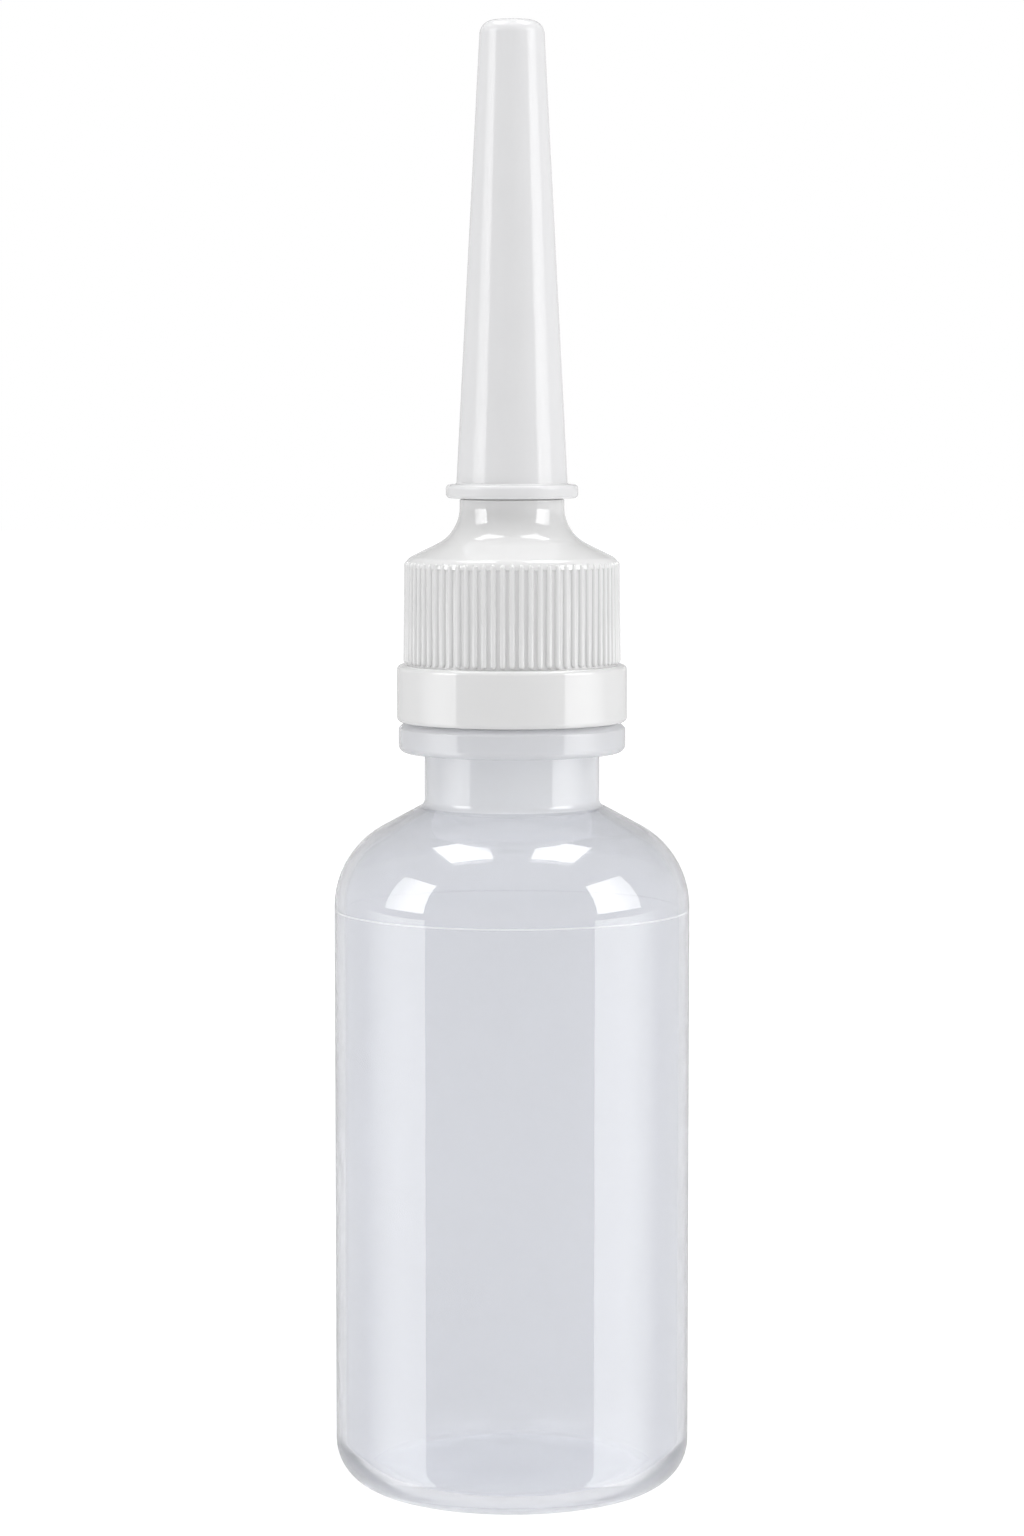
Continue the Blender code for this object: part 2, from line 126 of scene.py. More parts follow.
# %% Make the white world
BACKDROP = 1.0  # brightness that the camera sees
AMBIENT = 0.4  # brightness of the even light on the object
ROOM = 0.62  # brightness of the mirrored room at the horizon
TABLE = 1.0  # brightness of the mirrored table, below
CEILING = 0.12  # brightness of the mirrored ceiling
THROUGH = 0.96  # brightness of what is seen through the plastic
TABLE_RANGE = (-14, -40)  # degrees above the horizon between which the room turns into the table
CEILING_RANGE = (3, 25)  # and into the ceiling

world = bpy.data.worlds.new("white_studio")
bpy.context.scene.world = world
world.use_nodes = True
tree = world.node_tree
tree.nodes.clear()
rays = add_node(tree, "ShaderNodeLightPath")
direction = add_node(tree, "ShaderNodeTexCoord")
height = add_node(tree, "ShaderNodeSeparateXYZ", {0: direction.outputs["Generated"]})
mirrored = ROOM
for bounds, brightness in ((TABLE_RANGE, TABLE), (CEILING_RANGE, CEILING)):
    start, end = (math.sin(math.radians(angle)) for angle in bounds)
    share = add_node(
        tree,
        "ShaderNodeMapRange",
        {"Value": height.outputs["Z"], "From Min": start, "From Max": end},
        interpolation_type="SMOOTHSTEP",
    )
    blend = add_node(
        tree, "ShaderNodeMix", {"Factor": share.outputs[0], "A": mirrored, "B": brightness}
    )
    mirrored = blend.outputs[0]
strength = AMBIENT
for kind, brightness in (
    ("Is Glossy Ray", mirrored),
    ("Is Transmission Ray", THROUGH),
    ("Is Camera Ray", BACKDROP),
):
    choice = add_node(
        tree, "ShaderNodeMix", {"Factor": rays.outputs[kind], "A": strength, "B": brightness}
    )
    strength = choice.outputs[0]
light = add_node(
    tree, "ShaderNodeBackground", {"Color": linear("FFFFFF"), "Strength": strength}
)
add_node(tree, "ShaderNodeOutputWorld", {"Surface": light.outputs[0]})

# %% [markdown]
# ## Floor
# The floor is a matt sheet that would have to be lit until it clips to melt into the backdrop, and
# then the bottle would be overlit too. Instead it glows where it is seen, a little more further
# out, and its paint takes only a faint soft shadow. It also throws white light up, which is why the
# undersides aren't dark. Reflections skip it, so the gloss on the bottle's side shows the lamps
# down to its foot, as on a glossy table.

# %% Make the floor
FLOOR_SIZE = 8.0
FLOOR_DROP = 0.2 * MM  # below the foot, so that the two never share a plane
GLOW_NEAR = 0.93  # at the axis
GLOW_FAR = 1.0  # from the glow's end outwards
GLOW_END = 200 * MM  # from the axis
BOUNCE = 0.82  # how brightly it lights the object from below

bpy.ops.mesh.primitive_plane_add(size=FLOOR_SIZE, location=(0, 0, -FLOOR_DROP))
floor = bpy.context.object
floor.name = "floor"
floor.visible_glossy = False
paint = bpy.data.materials.new("matt_white_floor")
paint.use_nodes = True
paint.cycles.emission_sampling = "NONE"  # the glow isn't sampled as a lamp
tree = paint.node_tree
tree.nodes.clear()
place = add_node(tree, "ShaderNodeTexCoord")
distance = add_node(tree, "ShaderNodeVectorMath", {0: place.outputs["Object"]}, operation="LENGTH")
glow = add_node(
    tree,
    "ShaderNodeMapRange",
    {
        "Value": distance.outputs["Value"],
        "From Min": 0.0,
        "From Max": GLOW_END,
        "To Min": GLOW_NEAR,
        "To Max": GLOW_FAR,
    },
    interpolation_type="SMOOTHSTEP",
)
rays = add_node(tree, "ShaderNodeLightPath")
strength = add_node(
    tree,
    "ShaderNodeMix",
    {"Factor": rays.outputs["Is Diffuse Ray"], "A": glow.outputs[0], "B": BOUNCE},
)
matt = add_node(tree, "ShaderNodeBsdfDiffuse", {"Color": linear("6E6E70")})
shine = add_node(
    tree, "ShaderNodeEmission", {"Color": linear("FFFFFF"), "Strength": strength.outputs[0]}
)
both = add_node(tree, "ShaderNodeAddShader", {0: matt.outputs[0], 1: shine.outputs[0]})
add_node(tree, "ShaderNodeOutputMaterial", {"Surface": both.outputs[0]})
floor.data.materials.append(paint)

# %% [markdown]
# ## Lamps
# Two jobs are kept apart. A wide soft lamp overhead and a fill at each side light the pale plastic
# and give the shadow, and nothing mirrors them. The softboxes are there only to be mirrored. Two
# stand at each side, one above the other: the upper one makes the bright window on the shoulder,
# and the lower one, which is dimmer and fades out towards the back, makes the upright band with one
# sharp edge. Two panels on the ceiling make the upper pair of windows.
# An area lamp spreads its watts over its face, so a brightness is turned into watts through the
# face's size.

# %% Define a lamp, a side panel and a fade
SIDE_DISTANCE = 950 * MM


def area_lamp(name, place, aim, width, length, brightness):
    """An area lamp at a place, aimed at a point, whose face has the brightness."""
    bpy.ops.object.light_add(type="AREA", location=place)
    lamp = bpy.context.object
    lamp.name = name
    lamp.rotation_euler = (Vector(aim) - Vector(place)).to_track_quat("-Z", "Y").to_euler()
    lamp.data.shape = "RECTANGLE"
    lamp.data.size = width
    lamp.data.size_y = length
    lamp.data.energy = brightness * math.pi * width * length
    lamp.visible_camera = False
    return lamp


def side_panel(name, sharp, faded, foot, top, brightness):
    """An upright panel that shows in reflections only. Its sharp edge and its faded edge are azimuths,
    in degrees from the front, positive to the right."""
    turn = math.radians((sharp + faded) / 2)
    width = 2 * SIDE_DISTANCE * math.tan(math.radians(abs(faded - sharp) / 2))
    middle = Vector((0, 0, (foot + top) / 2))
    place = middle + Vector((math.sin(turn), -math.cos(turn), 0)) * SIDE_DISTANCE
    lamp = area_lamp(name, place, middle, width, top - foot, brightness)
    lamp.visible_diffuse = False
    lamp.visible_transmission = False
    return lamp


def fade(lamp, start, rest):
    """Lets a side panel's brightness fall to a rest, from a share of its width to its faded edge."""
    lamp.data.use_nodes = True
    tree = lamp.data.node_tree
    across = add_node(
        tree,
        "ShaderNodeSeparateXYZ",
        {0: add_node(tree, "ShaderNodeNewGeometry").outputs["Parametric"]},
    )
    on_right = lamp.location.x > 0
    share = add_node(
        tree,
        "ShaderNodeMapRange",
        {
            "Value": across.outputs["X"],
            "From Min": start if on_right else 1 - start,
            "From Max": 1.0 if on_right else 0.0,
            "To Min": 1.0,
            "To Max": rest,
        },
        interpolation_type="SMOOTHSTEP",
    )
    tree.links.new(share.outputs[0], tree.nodes["Emission"].inputs["Strength"])


# %% Hang the lamps that light
OVERHEAD_PLACE = (-50 * MM, -100 * MM, 750 * MM)
OVERHEAD_AIM = (0, 0, 50 * MM)
OVERHEAD_SIZE = 700 * MM
OVERHEAD_BRIGHTNESS = 2.55
FILL_OUT = 500 * MM
FILL_FORWARD = 100 * MM
FILL_HEIGHT = 150 * MM
FILL_WIDTH = 500 * MM
FILL_LENGTH = 600 * MM
LEFT_FILL = 0.95
RIGHT_FILL = 1.7

fills = [
    area_lamp(
        "overhead", OVERHEAD_PLACE, OVERHEAD_AIM, OVERHEAD_SIZE, OVERHEAD_SIZE, OVERHEAD_BRIGHTNESS
    )
]
for name, out, brightness in (
    ("left_fill", -FILL_OUT, LEFT_FILL),
    ("right_fill", FILL_OUT, RIGHT_FILL),
):
    place = (out, -FILL_FORWARD, FILL_HEIGHT)
    fills.append(area_lamp(name, place, (0, 0, FILL_HEIGHT), FILL_WIDTH, FILL_LENGTH, brightness))
for lamp in fills:
    lamp.visible_glossy = lamp.visible_transmission = False
print("lamps that light:", [lamp.name for lamp in fills])

# %% Hang the softboxes that are mirrored
WINDOW_FOOT = 152 * MM
WINDOW_TOP = 790 * MM
WINDOW_REST = 0.5  # share of the brightness that is left at the faded edge
BAND_FOOT = -900 * MM  # the lower panels reach far below the table's edge
BAND_TOP = 68 * MM
FADE_START = 0.3  # share of the width from the sharp edge that stays bright
RIGHT_BAND_FADE_START = 0.35
CEILING_OUT = 200 * MM
CEILING_BACK = 80 * MM
CEILING_HEIGHT = 680 * MM
CEILING_WIDTH = 230 * MM
CEILING_LENGTH = 330 * MM
CEILING_BRIGHTNESS = 6.0

# The azimuths of the sharp edge and the faded edge, and the brightness
for name, sharp, faded, brightness in (
    ("left_window", -58, -89, 8.0),
    ("right_window", 56, 91, 8.5),
):
    window = side_panel(name, sharp, faded, WINDOW_FOOT, WINDOW_TOP, brightness)
    fade(window, FADE_START, rest=WINDOW_REST)
for name, sharp, faded, brightness, fade_start in (
    ("left_band", -57, -112, 2.8, FADE_START),
    ("right_band", 54, 112, 3.0, RIGHT_BAND_FADE_START),
):
    band = side_panel(name, sharp, faded, BAND_FOOT, BAND_TOP, brightness)
    fade(band, fade_start, rest=0.0)
for name, out in (("left_ceiling", -CEILING_OUT), ("right_ceiling", CEILING_OUT)):
    place = (out, CEILING_BACK, CEILING_HEIGHT)
    below = (out, CEILING_BACK, 0)
    panel = area_lamp(name, place, below, CEILING_WIDTH, CEILING_LENGTH, CEILING_BRIGHTNESS)
    panel.visible_diffuse = False

# %% [markdown]
# ## Moulded plastic
# Every piece comes straight from a mould, so the plastics share one build. The colour drifts very
# slightly. The gloss is a little uneven. The wall has slow waves, because it shrinks as it cools,
# and on top lies the fine grain of the mould's steel. All of it is noise on object coordinates,
# sized in millimetres of the real thing.

# %% Define a moulded plastic
NOISE_DETAIL = 2.0
NOISE_RANGE = (0.3, 0.7)  # the noise seldom leaves it
COLOUR_A = 6  # a Mix node's sockets for colours, which share their names with those for numbers
COLOUR_B = 7
COLOUR_RESULT = 2


def adjust(plastic, settings):
    """Sets inputs of a plastic's main shader."""
    shader = plastic.node_tree.nodes["Principled BSDF"]
    for name, value in settings.items():
        shader.inputs[name].default_value = value


def moulded_plastic(name, colours, drift, gloss, gloss_size, wave, wave_size, grain, grain_size):
    """A plastic with drifting colour, uneven gloss, and waves and grain of given heights and sizes."""
    material = bpy.data.materials.new(name)
    material.use_nodes = True
    tree = material.node_tree
    shader = tree.nodes["Principled BSDF"]
    place = add_node(tree, "ShaderNodeTexCoord").outputs["Object"]
    sizes = {"drift": drift, "gloss": gloss_size, "wave": wave_size, "grain": grain_size}
    noise = {}
    for label, size in sizes.items():
        made = add_node(
            tree, "ShaderNodeTexNoise", {"Vector": place, "Scale": 1 / size, "Detail": NOISE_DETAIL}
        )
        made.label = label
        noise[label] = made.outputs["Fac"]
    colour = add_node(
        tree,
        "ShaderNodeMix",
        {
            "Factor": noise["drift"],
            COLOUR_A: linear(colours[0]),
            COLOUR_B: linear(colours[1]),
        },
        data_type="RGBA",
    )
    roughness = add_node(
        tree,
        "ShaderNodeMapRange",
        {
            "Value": noise["gloss"],
            "From Min": NOISE_RANGE[0],
            "From Max": NOISE_RANGE[1],
            "To Min": gloss[0],
            "To Max": gloss[1],
        },
    )
    waves = add_node(tree, "ShaderNodeBump", {"Height": noise["wave"], "Distance": wave})
    skin = add_node(
        tree,
        "ShaderNodeBump",
        {"Height": noise["grain"], "Distance": grain, "Normal": waves.outputs[0]},
    )
    tree.links.new(colour.outputs[COLOUR_RESULT], shader.inputs["Base Color"])
    tree.links.new(roughness.outputs[0], shader.inputs["Roughness"])
    tree.links.new(skin.outputs[0], shader.inputs["Normal"])
    return material


# %% [markdown]
# ### Natural polyethylene, blown
# The bottle is low-density polyethylene without pigment. It lets most light through and scatters a
# little, so it reads as a pale, slightly blue haze under a clear gloss. A glass shader alone would
# look empty and hard, so a share of the light is scattered at the surface instead of passing. A
# real thin wall also lets lamp light pass straight on, which a glass shader can't do for shadows,
# so for shadow rays it is swapped for a clear one.

# %% Mix the natural polyethylene
NATURAL_CLEARNESS = 0.82

natural = moulded_plastic(
    "blown_natural_polyethylene",
    ("E6E7EA", "E9EAED"),
    drift=25 * MM,
    gloss=(0.035, 0.06),
    gloss_size=9 * MM,
    wave=0.08 * MM,
    wave_size=32 * MM,
    grain=0.0006 * MM,
    grain_size=0.8 * MM,
)
adjust(natural, {"Transmission Weight": NATURAL_CLEARNESS, "IOR": 1.5})
tree = natural.node_tree
rays = add_node(tree, "ShaderNodeLightPath")
clear = add_node(tree, "ShaderNodeBsdfTransparent", {"Color": linear("E8E9EC")})
either = add_node(
    tree,
    "ShaderNodeMixShader",
    {
        0: rays.outputs["Is Shadow Ray"],
        1: tree.nodes["Principled BSDF"].outputs[0],
        2: clear.outputs[0],
    },
)
tree.links.new(either.outputs[0], tree.nodes["Material Output"].inputs["Surface"])
print("mixed", natural.name)

# %% [markdown]
# Where the plastic is thicker its haze adds up, most in the support ring, which looks nearly white.
# The neck, the base and the mould's hair line get a hazier copy with a lighter tint. That copy is
# partly this haze and partly painted light: it lifts the shade in the neck under the support ring and
# in the base, and it draws the hair line as a painted highlight. Both copies of the same material let
# less light through.

# %% Mix the thicker natural polyethylene and its lightened hazy copy
NECK_CLEARNESS = 0.38
THICK_CLEARNESS = 0.25
EVEN_SPREAD = (1.0, 1.0, 1.0)  # red, green and blue light wander equally far

lightened_hazy_plastic = natural.copy()
lightened_hazy_plastic.name = "lightened_hazy_natural_polyethylene"
adjust(lightened_hazy_plastic, {"Transmission Weight": NECK_CLEARNESS})
# The lighter tint is painted light: it lifts the shade in the neck and the base, and it makes the hair
# line's painted highlight.
for number, code in ((COLOUR_A, "F4F5F8"), (COLOUR_B, "F7F8FA")):
    lightened_hazy_plastic.node_tree.nodes["Mix"].inputs[number].default_value = linear(code)
thick = natural.copy()
thick.name = "thick_natural_polyethylene"
adjust(
    thick,
    {
        "Transmission Weight": THICK_CLEARNESS,
        "Subsurface Weight": 0.8,
        "Subsurface Radius": EVEN_SPREAD,
        "Subsurface Scale": 1.5 * MM,
    },
)
print("mixed", lightened_hazy_plastic.name, thick.name)

# %% [markdown]
# ### White polypropylene, injection moulded
# The cap is white all through. Its polished mould gives an even gloss, and a little light wanders
# under the skin, which softens the grooves between the ribs. Subsurface scattering over half a
# millimetre does that. Light also seeps through the wall, so that the inside isn't black in the gap
# above the support ring. The inner faces get a copy in which light wanders further than the wall is
# thick.

# %% Mix the white polypropylene
white = moulded_plastic(
    "moulded_white_polypropylene",
    ("E2E2E2", "E5E5E5"),
    drift=6 * MM,
    gloss=(0.03, 0.05),
    gloss_size=3 * MM,
    wave=0.01 * MM,
    wave_size=7 * MM,
    grain=0.0008 * MM,
    grain_size=0.5 * MM,
)
adjust(
    white,
    {
        "Subsurface Weight": 0.2,
        "Subsurface Radius": EVEN_SPREAD,
        "Subsurface Scale": 0.5 * MM,
        "IOR": 1.49,
    },
)

lit_through = white.copy()
lit_through.name = "lit_through_white_polypropylene"
adjust(lit_through, {"Subsurface Weight": 1.0, "Subsurface Scale": 3.0 * MM})
print("mixed", white.name, lit_through.name)

# %% [markdown]
# ### Milky polyethylene, injection moulded
# The cover is thinner and softer than the cap. It is white too, a shade cooler, and its gloss is
# softer.

# %% Mix the milky polyethylene
milky = moulded_plastic(
    "moulded_milky_polyethylene",
    ("DFDFE0", "E3E3E4"),
    drift=8 * MM,
    gloss=(0.09, 0.13),
    gloss_size=5 * MM,
    wave=0.02 * MM,
    wave_size=12 * MM,
    grain=0.0006 * MM,
    grain_size=0.6 * MM,
)
adjust(
    milky,
    {
        "Subsurface Weight": 0.3,
        "Subsurface Radius": EVEN_SPREAD,
        "Subsurface Scale": 0.8 * MM,
        "IOR": 1.51,
        "Specular IOR Level": 0.18,
    },
)
print("mixed", milky.name)

# %% [markdown]
# ### Inside pieces
# The nozzle and the valve seat are soft polyethylene with a satin skin. The disc is cloudy
# silicone, whose low refractive index makes its gloss weak. The washer is closed-cell foam: its
# cells are about 0.2 mm wide, drawn here twice as wide so that they show, and they make it matt.

# %% Mix the plastics of the inside pieces
soft = moulded_plastic(
    "satin_soft_polyethylene",
    ("DEDDDA", "E4E3E1"),
    drift=5 * MM,
    gloss=(0.3, 0.4),
    gloss_size=2 * MM,
    wave=0.01 * MM,
    wave_size=6 * MM,
    grain=0.003 * MM,
    grain_size=0.3 * MM,
)
adjust(soft, {"IOR": 1.51})

silicone = moulded_plastic(
    "cloudy_silicone",
    ("D6DBDE", "E2E6E8"),
    drift=4 * MM,
    gloss=(0.28, 0.38),
    gloss_size=1.5 * MM,
    wave=0.005 * MM,
    wave_size=3 * MM,
    grain=0.001 * MM,
    grain_size=0.2 * MM,
)
adjust(silicone, {"Subsurface Weight": 0.4, "Subsurface Scale": 1.0 * MM, "IOR": 1.41})

foam = moulded_plastic(
    "closed_cell_foam",
    ("D8D8D5", "E8E8E6"),
    drift=1.5 * MM,
    gloss=(0.75, 0.9),
    gloss_size=1 * MM,
    wave=0.02 * MM,
    wave_size=1.2 * MM,
    grain=0.03 * MM,
    grain_size=0.4 * MM,
)
print("mixed", soft.name, silicone.name, foam.name)

# %% [markdown]
# ## Drawing with a vertex
# All pieces are turned. By hand, one places a single vertex and extrudes it along the outline of
# half the section, spins it about a fillet's centre wherever a corner is rounded, and at the end
# spins the whole outline about the axis. These functions do just that. A curve could be drawn
# instead, but then the fillets would only be roughly round. An outline is a list of corners: a
# radius, a height and, if it is rounded, a fillet radius.

# %% Define the pen and the lathe
ARC_STEP = math.radians(6)  # how finely a fillet is cut
LEAST_STEPS = 3  # to a fillet
WELD = 0.0002 * MM
CREASE = math.radians(32)  # steeper edges stay sharp
LARGE_FACES_LEAD = 100  # the most that large faces can weigh in the normals


def only(piece):
    """Selects one object and makes it the active one."""
    bpy.ops.object.select_all(action="DESELECT")
    piece.select_set(True)
    bpy.context.view_layer.objects.active = piece


def pen_down(name, point):
    """Starts a mesh with one vertex at a radius and a height, and stays in edit mode."""
    bpy.ops.object.select_all(action="DESELECT")
    bpy.ops.mesh.primitive_plane_add(size=MM, location=(0, 0, 0), enter_editmode=True)
    piece = bpy.context.object
    piece.name = piece.data.name = name
    bpy.ops.mesh.select_all(action="SELECT")
    bpy.ops.mesh.merge(type="CENTER")
    bpy.ops.transform.translate(value=(point[0], 0, point[1]))
    return piece


def pen_to(here, there):
    """Draws a straight run by extruding the selected vertex."""
    move = Vector(there) - Vector(here)
    if move.length > WELD:
        bpy.ops.mesh.extrude_region_move(TRANSFORM_OT_translate={"value": (move.x, 0, move.y)})
    return Vector(there)


def pen_round(here, corner, ahead, fillet, arc_step):
    """Draws up to a corner and round it, by spinning the vertex about the fillet's centre."""
    back = (Vector(here) - Vector(corner)).normalized()
    on = (Vector(ahead) - Vector(corner)).normalized()
    half = back.angle(on) / 2
    start = pen_to(here, Vector(corner) + back * fillet / math.tan(half))
    centre = Vector(corner) + (back + on).normalized() * fillet / math.sin(half)
    turn = math.pi - 2 * half
    if back.cross(on) > 0:
        turn = -turn
    steps = max(LEAST_STEPS, math.ceil(abs(turn) / arc_step))
    bpy.ops.mesh.spin(steps=steps, angle=turn, center=(centre.x, 0, centre.y), axis=(0, 1, 0))
    return centre + Matrix.Rotation(turn, 2) @ (start - centre)


def lathe(name, corners, steps, closed=False, arc_step=ARC_STEP):
    """Draws an outline and spins it into a solid. A closed outline makes a ring."""
    if closed:
        corners = [*corners, corners[0]]
    here = Vector(corners[0][:2])
    piece = pen_down(name, here)
    for corner, ahead in zip(corners[1:], [*corners[2:], corners[-1]]):
        if len(corner) > 2:
            here = pen_round(here, corner[:2], ahead[:2], corner[2], arc_step)
        else:
            here = pen_to(here, corner)
    bpy.ops.mesh.select_all(action="SELECT")
    bpy.ops.mesh.remove_doubles(threshold=WELD)
    bpy.ops.mesh.spin(steps=steps, angle=FULL_TURN, center=(0, 0, 0), axis=(0, 0, 1))
    bpy.ops.mesh.select_all(action="SELECT")
    bpy.ops.mesh.remove_doubles(threshold=WELD)
    bpy.ops.mesh.normals_make_consistent(inside=False)
    bpy.ops.object.mode_set(mode="OBJECT")
    return piece


# %% [markdown]
# A piece is finished the same way each time: its place goes into its mesh, edges steeper than the
# crease angle stay sharp, and it stands for its fixed part. The print compares the two, which
# should agree to a hair. Joining shapes can leave slivers without any area, and these are
# dissolved, so that the skin stays closed. Smooth shading alone would bend the reflections in the
# long straight walls towards the fillets at their ends, so the normals are weighted by area, and
# the large faces keep theirs.

# %% Define the finish of a piece


def union(piece, helper):
    """Joins a helper shape to a piece for good, so that one closed skin is left."""
    only(piece)
    bpy.ops.object.modifier_add(type="BOOLEAN")
    joint = piece.modifiers[-1]
    joint.operation = "UNION"
    joint.solver = "EXACT"
    joint.object = helper
    bpy.ops.object.modifier_apply(modifier=joint.name)
    bpy.data.objects.remove(helper)


def finish_piece(piece, material, body, node):
    """Shades a piece, gives it its material, and lets it stand for a fixed part on its body."""
    only(piece)
    bpy.ops.object.transform_apply(location=True, rotation=True, scale=True)
    bpy.ops.object.mode_set(mode="EDIT")
    bpy.ops.mesh.select_all(action="SELECT")
    bpy.ops.mesh.dissolve_degenerate(threshold=WELD)
    bpy.ops.object.mode_set(mode="OBJECT")
    bpy.ops.object.shade_smooth_by_angle(angle=CREASE)
    bpy.ops.object.modifier_add(type="WEIGHTED_NORMAL")
    piece.modifiers[-1].keep_sharp = True
    piece.modifiers[-1].weight = LARGE_FACES_LEAD
    bpy.ops.object.modifier_apply(modifier=piece.modifiers[-1].name)
    piece.data.materials.clear()
    piece.data.materials.append(material)
    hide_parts(node)
    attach(piece, body)
    places = [corner.co for corner in piece.data.vertices]
    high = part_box(node)[1]
    off = [
        max(getattr(place, axis) for place in places) - getattr(high, axis)
        for axis in ("x", "y", "z")
    ]
    print(piece.name, len(piece.data.polygons), "faces, top corner off by", off)


# %% [markdown]
# ## Places along the axis
# The fixed parts say where each piece lies, so their heights are read from the frame and not
# written again.

# %% Read the heights of the fixed parts
SEAT_GAP = 0.3 * MM
SLIDE_GAP = 0.3 * MM
EDGE = 0.2 * MM
SOFT_EDGE = 0.3 * MM

MOUTH_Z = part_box("bottle")[1].z
CAP_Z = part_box("screw_cap")[0].z
SPIGOT_TOP_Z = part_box("screw_cap")[1].z
COVER_Z, COVER_TOP_Z = (corner.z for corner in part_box("tip_cover"))
BEAD_Z, TIP_Z = (corner.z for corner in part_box("nozzle"))
WASHER_Z, WASHER_TOP_Z = (corner.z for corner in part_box("seal_washer"))
SEAT_Z, SEAT_TOP_Z = (corner.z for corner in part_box("valve_seat"))
DISC_Z, DISC_TOP_Z = (corner.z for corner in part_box("valve_disc"))
print("mouth", MOUTH_Z, "cap", CAP_Z, "cover", COVER_Z, "to", COVER_TOP_Z)

# %% [markdown]
# ## Screw thread
# A thread is a ridge that climbs as it turns. Its section is drawn once with the pen, a Screw
# modifier sweeps it round and up, and the sections at both ends are drawn into the wall one by one,
# so that the ridge fades out as a moulded one does. Bottle and cap share it: on the bottle it
# points out, and in the cap it points in.

# %% Define the thread
THREAD_PITCH = 3.175 * MM
THREAD_TURNS = 1.5
THREAD_STEPS = 96  # to a turn
THREAD_FADE = 12  # sections over which each end fades
THREAD_CREST = 0.8 * MM
THREAD_FOOT = 2.1 * MM
THREAD_DROP = 2.4 * MM  # from the mouth to the middle of the ridge's upper end
THREAD_START = math.radians(2)
THREAD_Z = MOUTH_Z - THREAD_DROP - THREAD_TURNS * THREAD_PITCH
SINK = 0.3 * MM  # how far a joined shape reaches into the one that it joins


def pick(piece, wanted):
    """Selects, in edit mode, the vertices whose places are wanted."""
    mesh = bmesh.from_edit_mesh(piece.data)
    for vertex in mesh.verts:
        vertex.select_set(wanted(vertex.co))
    mesh.select_flush_mode()
    bmesh.update_edit_mesh(piece.data)


def thread(name, wall, crest, foot_width, bottom):
    """A right-hand ridge on a wall, from radius wall to radius crest, climbing from height bottom."""
    root = wall - SINK if crest > wall else wall + SINK
    here = Vector((root, bottom - foot_width / 2))
    piece = pen_down(name, here)
    for point in (
        (crest, bottom - THREAD_CREST / 2),
        (crest, bottom + THREAD_CREST / 2),
        (root, bottom + foot_width / 2),
    ):
        here = pen_to(here, point)
    bpy.ops.mesh.select_all(action="SELECT")
    bpy.ops.mesh.edge_face_add()
    bpy.ops.mesh.delete(type="ONLY_FACE")
    bpy.ops.object.mode_set(mode="OBJECT")
    bpy.ops.object.modifier_add(type="SCREW")
    sweep = piece.modifiers[-1]
    sweep.angle = THREAD_TURNS * FULL_TURN
    sweep.screw_offset = THREAD_TURNS * THREAD_PITCH
    sweep.steps = sweep.render_steps = round(THREAD_TURNS * THREAD_STEPS)
    sweep.merge_threshold = WELD
    bpy.ops.object.modifier_apply(modifier=sweep.name)
    fade_ends(piece, wall, crest, bottom)
    piece.rotation_euler.z = THREAD_START
    bpy.ops.object.transform_apply(location=True, rotation=True, scale=True)
    return piece


def fade_ends(piece, wall, crest, bottom):
    """Draws the crest at both ends of a ridge towards the wall, and closes the ends."""
    last = round(THREAD_TURNS * THREAD_STEPS)
    bpy.ops.object.mode_set(mode="EDIT")
    for number in range(THREAD_FADE):
        share = (number + 0.5) / THREAD_FADE
        shrink = (wall + (crest - wall) * share) / crest
        for section in (number, last - number):
            turn = FULL_TURN * section / THREAD_STEPS
            radial = Vector((math.cos(turn), math.sin(turn), 0)) * crest
            middle = radial + Vector((0, 0, bottom + THREAD_PITCH * section / THREAD_STEPS))
            pick(
                piece,
                lambda place: (place - middle).length < THREAD_CREST / 2 + WELD
                and abs((place - middle).dot(radial)) < WELD * crest,
            )
            bpy.ops.transform.resize(value=(shrink, shrink, 1), center_override=(0, 0, 0))
    bpy.ops.mesh.select_all(action="SELECT")
    bpy.ops.mesh.fill_holes(sides=4)
    bpy.ops.mesh.normals_make_consistent(inside=False)
    bpy.ops.object.mode_set(mode="OBJECT")


# %% [markdown]
# ## Bottle
# The bottle is blown in a mould: an even wall with a push-up base, a straight side, a domed shoulder,
# a support ring and a threaded neck. The wall's inside is drawn too, because the plastic is seen
# through. Where two parts of the mould meet below the dome, they leave a hair line that shows as a
# thin light line. Here it is a flush narrow strip of the lightened hazy plastic, and its lightness is
# a painted highlight.

# %% Model the bottle
BODY_RADIUS = 22.0 * MM
BODY_WALL = 1.1 * MM
BASE_THICKNESS = 1.6 * MM
FOOT_RADIUS = 17.3 * MM
FOOT_WIDTH = 1.5 * MM
FOOT_FILLET = 1.4 * MM
HEEL_RISE = 1.3 * MM
HEEL_RADIUS = 5.6 * MM
PUSH_UP_STEP = 0.9 * MM
PUSH_UP_DRAFT = 0.45 * MM
PUSH_UP = 2.0 * MM
DIMPLE_RADIUS = 8.0 * MM
DIMPLE_DEPTH = 0.3 * MM
SHOULDER_CORNER = 79.1 * MM  # where the side and the slope of the dome would meet
DOME_RADIUS = 11.2 * MM
DOME_SLOPE = math.radians(28.7)
SEAM_DROP = 0.3 * MM  # below the lower end of the dome's curve
SEAM_WIDTH = 0.18 * MM
NECK_RADIUS = 10.8 * MM
NECK_WALL = 1.2 * MM
NECK_FILLET = 1.0 * MM
RING_RADIUS = 14.0 * MM
RING_GAP = 0.06 * MM  # between the support ring and the cap
RING_HEIGHT = 3.69 * MM
RING_CHAMFER = 0.72 * MM  # at its top
RING_FOOT_FILLET = 0.95 * MM
THREAD_DEPTH = 0.95 * MM
BOTTLE_STEPS = 160

